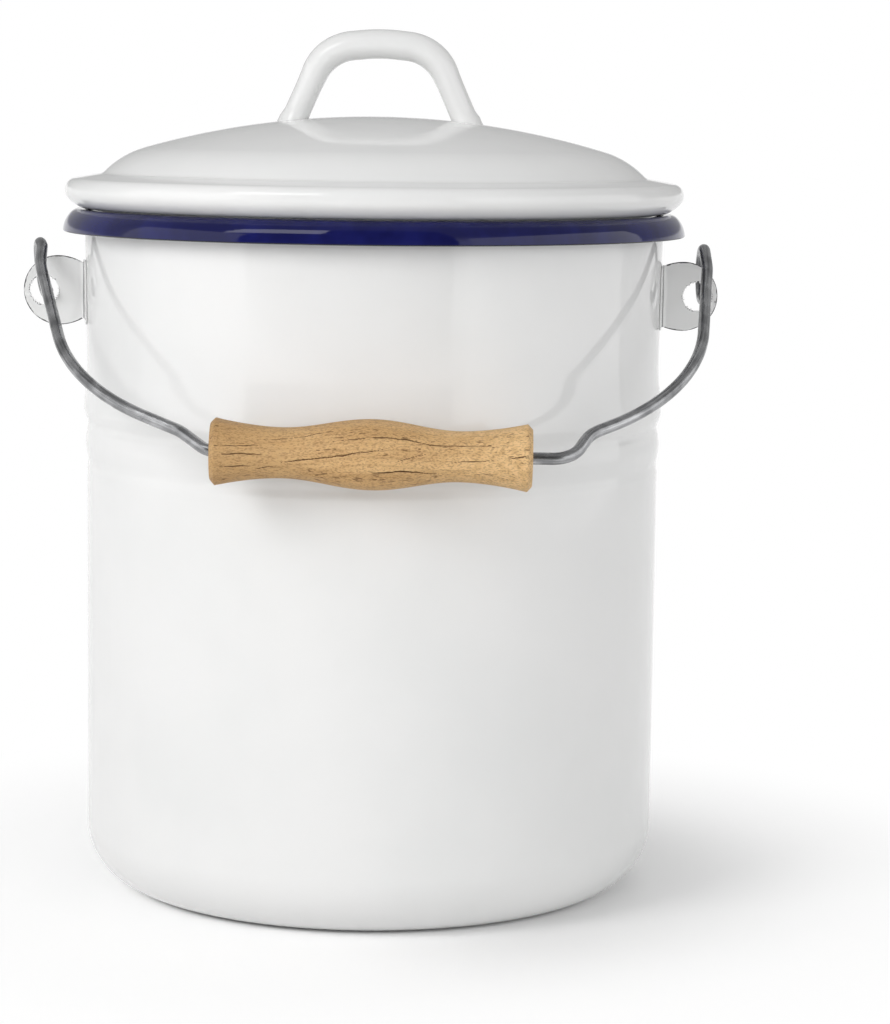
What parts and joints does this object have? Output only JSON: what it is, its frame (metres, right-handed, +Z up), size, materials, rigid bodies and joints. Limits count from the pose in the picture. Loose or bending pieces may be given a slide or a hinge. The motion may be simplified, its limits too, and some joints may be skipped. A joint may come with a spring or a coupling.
{
  "type": "compost bucket",
  "caption": "Enamelled steel kitchen pail with a rolled rim, domed lift-off lid with a loop handle, and a swinging wire bail with a turned wooden grip.",
  "frame": {"origin": "on the pail's axis, on the floor, in the middle of the flat base", "axes": "+Z up along the pail's axis; +X towards the right-hand ear; -Y is the front, where the bail hangs"},
  "size_m": [0.246, 0.235, 0.3028],
  "materials": {
    "white_enamel": "glossy vitreous enamel, fired on sheet steel",
    "galvanised_wire": "dull galvanised steel wire",
    "beech": "turned hardwood, bare, with open grain"
  },
  "bodies": {
    "pail": {"bucket_shell": "white_enamel", "left_ear": "white_enamel", "right_ear": "white_enamel"},
    "bail": {"bail_wire": "galvanised_wire"},
    "grip": {"wooden_grip": "beech"},
    "lid": {"lid_shell": "white_enamel", "lid_collar": "white_enamel", "lid_handle": "white_enamel"}
  },
  "joints": [
    {"name": "bail_swing", "type": "hinge", "parent": "pail", "child": "bail", "pos_m": [0, 0, 0.2179], "axis": [-1, 0, 0], "range_deg": [0, 229]},
    {"name": "grip_spin", "type": "hinge", "parent": "bail", "child": "grip", "pos_m": [-0.0004, -0.1135, 0.1649], "axis": [0.9997, -0.0198, -0.011], "continuous": true},
    {"name": "lid_lift", "type": "slide", "parent": "pail", "child": "lid", "axis": [0, 0, 1], "range_m": [0, 0.12]}
  ]
}
